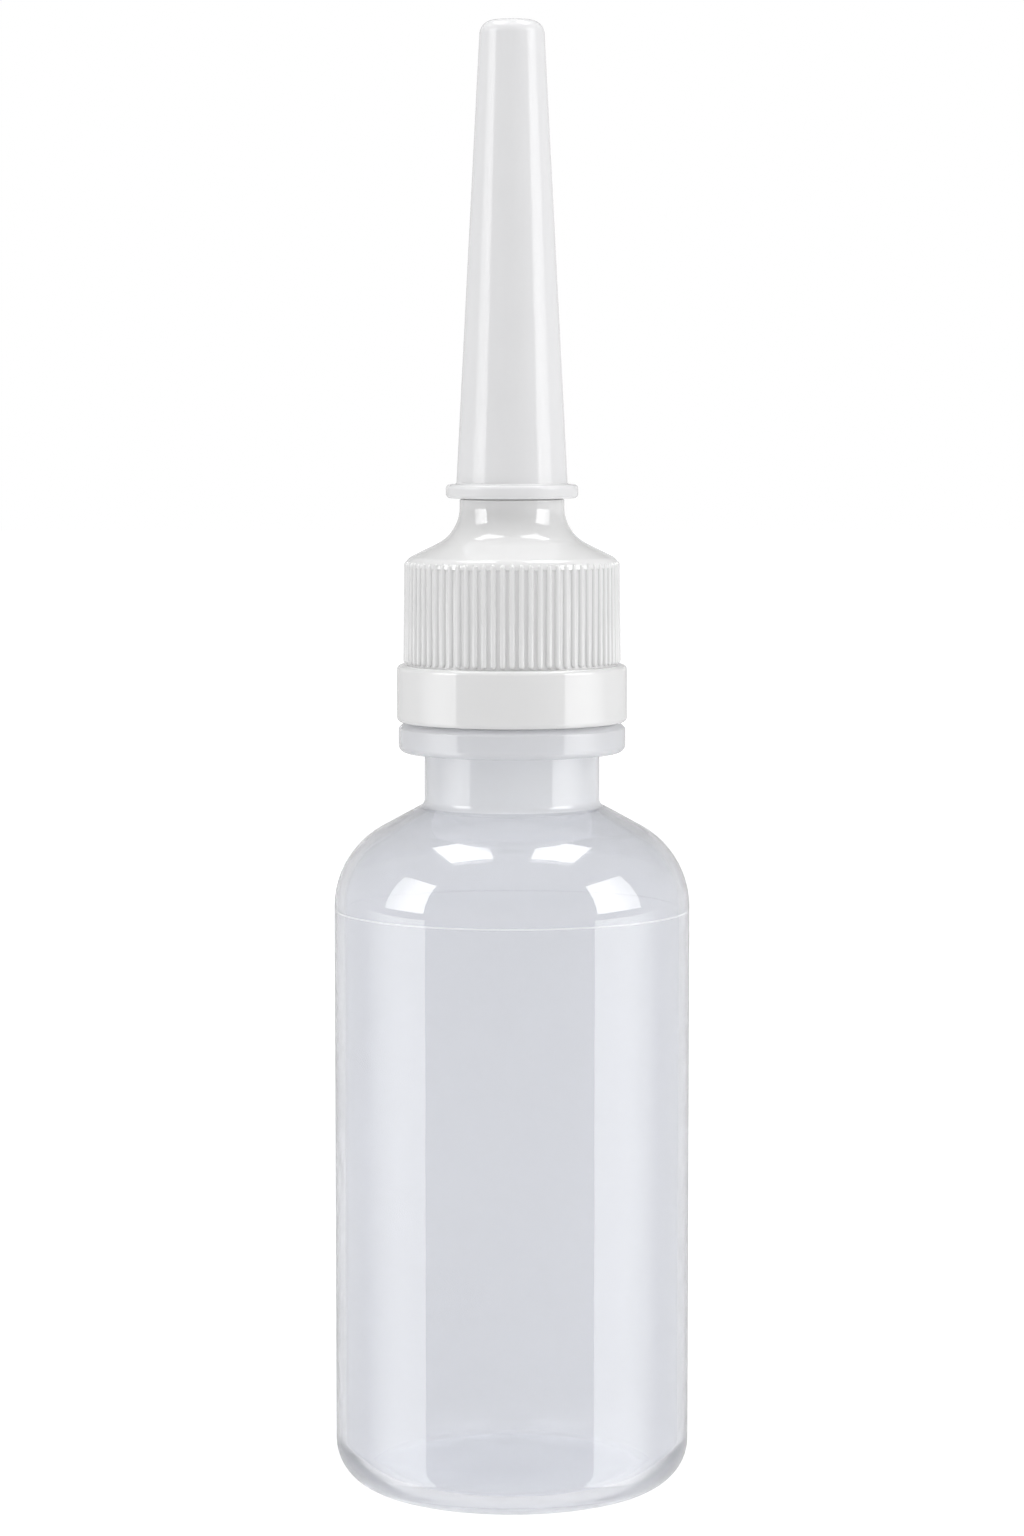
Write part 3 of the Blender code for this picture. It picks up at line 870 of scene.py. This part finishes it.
bore = BODY_RADIUS - BODY_WALL
neck_bore = NECK_RADIUS - NECK_WALL
ring_top = CAP_Z - RING_GAP
ring_foot = ring_top - RING_HEIGHT
neck_foot = SHOULDER_CORNER + (BODY_RADIUS - NECK_RADIUS) * math.tan(DOME_SLOPE)
slope_drop = BODY_WALL / math.cos(DOME_SLOPE)
inner_corner = SHOULDER_CORNER + BODY_WALL * math.tan(DOME_SLOPE) - slope_drop
inner_neck_foot = neck_foot + NECK_WALL * math.tan(DOME_SLOPE) - slope_drop
seam = SHOULDER_CORNER - DOME_RADIUS * math.tan((math.pi / 2 - DOME_SLOPE) / 2) - SEAM_DROP
bottle = lathe(
    "bottle_shell",
    [
        (0, PUSH_UP + BASE_THICKNESS),
        (FOOT_RADIUS - FOOT_WIDTH / 2, BASE_THICKNESS, FOOT_FILLET),
        (bore, HEEL_RISE + BASE_THICKNESS, HEEL_RADIUS - BODY_WALL),
        (bore, inner_corner, DOME_RADIUS - BODY_WALL),
        (neck_bore, inner_neck_foot, NECK_FILLET + NECK_WALL),
        (neck_bore, MOUTH_Z, SOFT_EDGE),
        (NECK_RADIUS, MOUTH_Z, SOFT_EDGE),
        (NECK_RADIUS, ring_top),
        (RING_RADIUS - RING_CHAMFER, ring_top),
        (RING_RADIUS, ring_top - RING_CHAMFER, SOFT_EDGE),
        (RING_RADIUS, ring_foot, RING_FOOT_FILLET),
        (NECK_RADIUS, ring_foot),
        (NECK_RADIUS, neck_foot, NECK_FILLET),
        (BODY_RADIUS, SHOULDER_CORNER, DOME_RADIUS),
        (BODY_RADIUS, seam + SEAM_WIDTH / 2),
        (BODY_RADIUS, seam - SEAM_WIDTH / 2),
        (BODY_RADIUS, HEEL_RISE, HEEL_RADIUS),
        (FOOT_RADIUS, 0, FOOT_FILLET),
        (FOOT_RADIUS - FOOT_WIDTH, 0),
        (FOOT_RADIUS - FOOT_WIDTH - PUSH_UP_DRAFT, PUSH_UP_STEP),
        (DIMPLE_RADIUS, PUSH_UP - DIMPLE_DEPTH),
        (DIMPLE_RADIUS - DIMPLE_DEPTH, PUSH_UP),
        (0, PUSH_UP),
    ],
    BOTTLE_STEPS,
)
bottle_crest = NECK_RADIUS + THREAD_DEPTH
union(bottle, thread("bottle_thread", NECK_RADIUS, bottle_crest, THREAD_FOOT, THREAD_Z))
finish_piece(bottle, natural, "bottle_body", "bottle")
plastics = bottle.data.materials
plastics.append(lightened_hazy_plastic)
plastics.append(thick)
for face in bottle.data.polygons:
    out = math.hypot(face.center.x, face.center.y)
    on_ring = out > NECK_RADIUS and ring_foot - WELD < face.center.z < ring_top + WELD
    on_seam = out > bore + WELD and abs(face.center.z - seam) < SEAM_WIDTH / 2
    on_base = out < FOOT_RADIUS and face.center.z < PUSH_UP + BASE_THICKNESS + WELD
    if on_ring:
        face.material_index = plastics.find(thick.name)
    # The neck, the base and the hair line take the lightened hazy copy. It is painted light against
    # their shade, and on the hair line a painted highlight.
    elif on_seam or on_base or face.center.z > neck_foot - NECK_WALL:
        face.material_index = plastics.find(lightened_hazy_plastic.name)

# %% [markdown]
# ## Screw cap
# The cap has a plain skirt, a grip with 72 ribs, a hollow-curved shoulder and a boss that ends in a
# spigot for the cover. Inside it has a thread and a flat deck that clamps the nozzle. The ribs
# could be cut as grooves, but the real ones are rounded bars with bullet ends that sink into the
# wall towards the top. So one bar is modelled, leant inwards, copied round the cap and joined to
# it.

# %% Turn the cap
CAP_BORE = 12.05 * MM
GRIP_RADIUS = 13.05 * MM
GROOVE_RADIUS = 13.0 * MM  # between the ribs
SKIRT_RADIUS = 14.2 * MM
SKIRT_HEIGHT = 7.05 * MM
SKIRT_WALL = 1.3 * MM
SKIRT_TOP_FILLET = 0.6 * MM
SKIRT_FOOT_FILLET = 0.62 * MM
DECK_GAP = 1.8 * MM  # from the washer's top up to the deck: the nozzle's flange and two gaps
DECK_COVER = 0.76 * MM
SHOULDER_RADIUS = 13.13 * MM  # a little outside the grip, so that the ribs' ends stand out less
SHOULDER_FILLET = 1.35 * MM
SHOULDER_SLOPE = math.radians(26.3)
BOSS_GAP = 0.1 * MM  # up to the cover
BOSS_RADIUS = 6.44 * MM
BOSS_SWEEP = 5.0 * MM
STEM_BORE = 4.9 * MM
COVER_MOUTH = 6.34 * MM
# The cover's taper, which the spigot shares, follows from these three and its length
COVER_FLANGE_HEIGHT = 1.7 * MM
COVER_BASE_RADIUS = 6.85 * MM
COVER_TIP_RADIUS = 3.9 * MM
CAP_STEPS = 144

cover_height = COVER_TOP_Z - COVER_Z - COVER_FLANGE_HEIGHT
cover_taper = (COVER_BASE_RADIUS - COVER_TIP_RADIUS) / cover_height
spigot_tip = COVER_MOUTH - (SPIGOT_TOP_Z - COVER_Z) * cover_taper - SLIDE_GAP
deck = WASHER_TOP_Z + DECK_GAP
shoulder = deck + DECK_COVER - (SHOULDER_RADIUS - GRIP_RADIUS) * math.tan(SHOULDER_SLOPE)
lip = shoulder - SHOULDER_FILLET * math.tan((math.pi / 2 - SHOULDER_SLOPE) / 2) - WELD
boss_foot = shoulder + (SHOULDER_RADIUS - BOSS_RADIUS) * math.tan(SHOULDER_SLOPE)
boss_top = COVER_Z - BOSS_GAP
skirt_top = CAP_Z + SKIRT_HEIGHT
skirt_bore = SKIRT_RADIUS - SKIRT_WALL
cap = lathe(
    "cap_shell",
    [
        (skirt_bore, CAP_Z),
        (skirt_bore, skirt_top - SKIRT_WALL),
        (CAP_BORE, skirt_top - SKIRT_WALL + skirt_bore - CAP_BORE),
        (CAP_BORE, deck),
        (STEM_BORE, deck),
        (STEM_BORE, SPIGOT_TOP_Z),
        (spigot_tip, SPIGOT_TOP_Z, SOFT_EDGE),
        (COVER_MOUTH - SLIDE_GAP, boss_top),
        (BOSS_RADIUS, boss_top, EDGE),
        (BOSS_RADIUS, boss_foot, BOSS_SWEEP),
        (SHOULDER_RADIUS, shoulder, SHOULDER_FILLET),
        (SHOULDER_RADIUS, lip),
        (GROOVE_RADIUS, lip - SHOULDER_RADIUS + GROOVE_RADIUS),
        (GROOVE_RADIUS, skirt_top),
        (SKIRT_RADIUS, skirt_top, SKIRT_TOP_FILLET),
        (SKIRT_RADIUS, CAP_Z, SKIRT_FOOT_FILLET),
    ],
    CAP_STEPS,
    closed=True,
)
print(cap.name, "turned, its skirt ends at", skirt_top)

# %% Model one rib and copy it round the grip
RIB_COUNT = 72
RIB_RADIUS = 0.375 * MM
RIB_PROUD = 0.36 * MM  # at the skirt
RIB_FALL = 0.13 * MM  # how much deeper its upper end sinks
RIB_CLEARANCE = 0.2 * MM  # above the skirt
RIB_TOP = 0.2 * MM  # below the shoulder's corner, so that a rib's end comes out through the curve
RIB_STEPS = 12
RIB_ARC = math.radians(22.5)

rib_foot = skirt_top + RIB_CLEARANCE
rib_length = shoulder - RIB_TOP - rib_foot
rib = lathe(
    "rib",
    [(0, 0), (RIB_RADIUS, 0, RIB_RADIUS), (RIB_RADIUS, rib_length, RIB_RADIUS), (0, rib_length)],
    RIB_STEPS,
    arc_step=RIB_ARC,
)
only(rib)
rib.location = (GRIP_RADIUS + RIB_PROUD - RIB_RADIUS, 0, rib_foot)
rib.rotation_euler.y = -math.atan(RIB_FALL / rib_length)
bpy.ops.object.transform_apply(location=True, rotation=True, scale=True)
ribs = [rib]
for number in range(1, RIB_COUNT):
    only(rib)
    bpy.ops.object.duplicate()
    copy = bpy.context.object
    copy.rotation_euler.z = FULL_TURN * number / RIB_COUNT
    ribs.append(copy)
for copy in ribs:
    copy.select_set(True)
bpy.context.view_layer.objects.active = rib
bpy.ops.object.join()
union(cap, rib)
print(RIB_COUNT, "ribs, each", rib_length, "long")

# %% Join the cap's thread to it and finish the cap
CAP_THREAD_CREST = NECK_RADIUS + SLIDE_GAP
union(
    cap,
    thread(
        "cap_thread",
        CAP_BORE,
        CAP_THREAD_CREST,
        THREAD_FOOT - 2 * SLIDE_GAP,
        THREAD_Z - THREAD_PITCH / 2,
    ),
)
finish_piece(cap, white, "cap", "screw_cap")
plastics = cap.data.materials
plastics.append(lit_through)
for face in cap.data.polygons:
    out = math.hypot(face.center.x, face.center.y)
    if out < skirt_bore + WELD and face.center.z < deck + WELD:
        face.material_index = plastics.find(lit_through.name)

# %% [markdown]
# ## Tip cover
# The cover is a long tapered cup that is pulled off before use. Its mouth has a rounded flange for
# the fingernail, and its closed end is a flat with a soft edge. In the middle of that flat the
# mould's gate leaves a shallow dimple.

# %% Model the tip cover
COVER_FLANGE_RADIUS = 8.15 * MM
COVER_FLANGE_FILLET = 0.53 * MM
COVER_TIP_FILLET = 1.75 * MM
COVER_WALL = 0.6 * MM
COVER_END = 0.9 * MM
GATE_RADIUS = 0.9 * MM
GATE_DEPTH = 0.15 * MM
COVER_STEPS = 128

ceiling = COVER_TOP_Z - COVER_END
ceiling_radius = COVER_MOUTH - (ceiling - COVER_Z) * cover_taper
cover = lathe(
    "cover_shell",
    [
        (0, ceiling),
        (ceiling_radius, ceiling, COVER_TIP_FILLET - COVER_WALL),
        (COVER_MOUTH, COVER_Z, EDGE),
        (COVER_FLANGE_RADIUS, COVER_Z, COVER_FLANGE_FILLET),
        (COVER_FLANGE_RADIUS, COVER_Z + COVER_FLANGE_HEIGHT, COVER_FLANGE_FILLET),
        (COVER_BASE_RADIUS, COVER_Z + COVER_FLANGE_HEIGHT, SOFT_EDGE),
        (COVER_TIP_RADIUS, COVER_TOP_Z, COVER_TIP_FILLET),
        (GATE_RADIUS, COVER_TOP_Z),
        (GATE_RADIUS - GATE_DEPTH, COVER_TOP_Z - GATE_DEPTH),
        (0, COVER_TOP_Z - GATE_DEPTH),
    ],
    COVER_STEPS,
)
finish_piece(cover, milky, "cover", "tip_cover")

# %% [markdown]
# ## Nozzle
# The nozzle is one soft moulding. Its chamber plugs the bottle's neck, its flange is clamped by the
# cap, a bead snaps above the spigot, and the stem tapers to a rounded tip with the outlet. Four
# small stops under the chamber's ceiling hold the disc off the bore. They are four blocks, sunk
# into the ceiling and joined.

# %% Model the nozzle
NOZZLE_FLANGE = 1.2 * MM
FLANGE_RADIUS = 10.7 * MM
PLUG_RADIUS = 9.2 * MM
CHAMBER_RADIUS = 7.9 * MM
STEM_RADIUS = 4.6 * MM
TIP_RADIUS = 2.8 * MM
TIP_FILLET = 1.6 * MM
SNAP_PROUD = 0.55 * MM
SNAP_HEIGHT = 1.4 * MM
BORE_RADIUS = 1.9 * MM
BORE_TIP_RADIUS = 1.3 * MM
OUTLET_RADIUS = 0.9 * MM
OUTLET_LENGTH = 3.0 * MM
BEAD_PROUD = 0.6 * MM
BEAD_HEIGHT = 0.8 * MM
NOZZLE_STEPS = 96

flange_foot = WASHER_TOP_Z + SEAT_GAP
flange_top = flange_foot + NOZZLE_FLANGE
snap = SPIGOT_TOP_Z + SEAT_GAP
nozzle = lathe(
    "nozzle_shell",
    [
        (CHAMBER_RADIUS, BEAD_Z),
        (PLUG_RADIUS, BEAD_Z, SOFT_EDGE),
        (PLUG_RADIUS, flange_foot),
        (FLANGE_RADIUS, flange_foot, EDGE),
        (FLANGE_RADIUS, flange_top, EDGE),
        (STEM_RADIUS, flange_top),
        (STEM_RADIUS, snap),
        (STEM_RADIUS + SNAP_PROUD, snap + SNAP_HEIGHT / 4, EDGE),
        (STEM_RADIUS, snap + SNAP_HEIGHT),
        (TIP_RADIUS, TIP_Z, TIP_FILLET),
        (OUTLET_RADIUS, TIP_Z, EDGE),
        (OUTLET_RADIUS, TIP_Z - OUTLET_LENGTH),
        (BORE_TIP_RADIUS, TIP_Z - OUTLET_LENGTH - BORE_TIP_RADIUS),
        (BORE_RADIUS, flange_top),
        (BORE_RADIUS, flange_foot),
        (CHAMBER_RADIUS, flange_foot),
        (CHAMBER_RADIUS, BEAD_Z + BEAD_HEIGHT),
        (CHAMBER_RADIUS - BEAD_PROUD, BEAD_Z + BEAD_HEIGHT / 2, EDGE),
    ],
    NOZZLE_STEPS,
    closed=True,
)
print(nozzle.name, "reaches from", BEAD_Z, "to", TIP_Z)

# %% Join the stops and finish the nozzle
STOP_COUNT = 4
STOP_WIDTH = 1.0 * MM
STOP_HEIGHT = 0.6 * MM
STOP_BEVEL_STEPS = 3

stop_inner = BORE_RADIUS + STOP_WIDTH
stop_outer = CHAMBER_RADIUS - STOP_WIDTH
stop_middle = (stop_inner + stop_outer) / 2
stop_z = flange_foot + (SINK - STOP_HEIGHT) / 2
for number in range(STOP_COUNT):
    turn = FULL_TURN * (number + 0.5) / STOP_COUNT
    bpy.ops.object.select_all(action="DESELECT")
    bpy.ops.mesh.primitive_cube_add(
        size=1,
        location=(stop_middle * math.cos(turn), stop_middle * math.sin(turn), stop_z),
        rotation=(0, 0, turn),
        scale=(stop_outer - stop_inner, STOP_WIDTH, STOP_HEIGHT + SINK),
    )
    stop = bpy.context.object
    bpy.ops.object.transform_apply(location=True, rotation=True, scale=True)
    bpy.ops.object.mode_set(mode="EDIT")
    pick(stop, lambda place: place.z < flange_foot)
    bpy.ops.mesh.bevel(offset=EDGE, segments=STOP_BEVEL_STEPS, affect="EDGES")
    bpy.ops.object.mode_set(mode="OBJECT")
    union(nozzle, stop)
finish_piece(nozzle, soft, "nozzle_set", "nozzle")

# %% [markdown]
# ## Valve and washer
# A loose silicone disc lies on the raised lip of the seat. A squeeze lifts it against the stops,
# and let go, it falls back and seals. Both are small turned pieces with rounded edges. The washer
# is stamped from foam, so its edges are only slightly rounded.

# %% Model the valve disc and the valve seat
DISC_FLOW_GAP = 0.6 * MM
SEAT_PLATE = 1.2 * MM
SEAT_LIP_WIDTH = 1.0 * MM
SEAT_HOLE = 1.9 * MM
SMALL_STEPS = 96

disc_radius = CHAMBER_RADIUS - DISC_FLOW_GAP
disc = lathe(
    "disc_shell",
    [
        (0, DISC_Z),
        (disc_radius, DISC_Z, EDGE),
        (disc_radius, DISC_TOP_Z, EDGE),
        (0, DISC_TOP_Z),
    ],
    SMALL_STEPS,
)
finish_piece(disc, silicone, "disc", "valve_disc")

lip_top = SEAT_HOLE + SEAT_LIP_WIDTH
seat = lathe(
    "seat_shell",
    [
        (SEAT_HOLE, (SEAT_Z + SEAT_TOP_Z) / 2),
        (SEAT_HOLE, SEAT_Z, EDGE),
        (CHAMBER_RADIUS - SLIDE_GAP, SEAT_Z, EDGE),
        (CHAMBER_RADIUS - SLIDE_GAP, SEAT_Z + SEAT_PLATE, EDGE),
        (lip_top + (SEAT_TOP_Z - SEAT_Z - SEAT_PLATE) / 2, SEAT_Z + SEAT_PLATE),
        (lip_top, SEAT_TOP_Z, EDGE),
        (SEAT_HOLE, SEAT_TOP_Z, EDGE),
    ],
    SMALL_STEPS,
    closed=True,
)
finish_piece(seat, soft, "nozzle_set", "valve_seat")

# %% Model the washer
WASHER_EDGE = 0.1 * MM

washer_bore = PLUG_RADIUS + SLIDE_GAP
washer = lathe(
    "washer_shell",
    [
        (washer_bore, (WASHER_Z + WASHER_TOP_Z) / 2),
        (washer_bore, WASHER_Z, WASHER_EDGE),
        (FLANGE_RADIUS, WASHER_Z, WASHER_EDGE),
        (FLANGE_RADIUS, WASHER_TOP_Z, WASHER_EDGE),
        (washer_bore, WASHER_TOP_Z, WASHER_EDGE),
    ],
    SMALL_STEPS,
    closed=True,
)
finish_piece(washer, foam, "nozzle_set", "seal_washer")
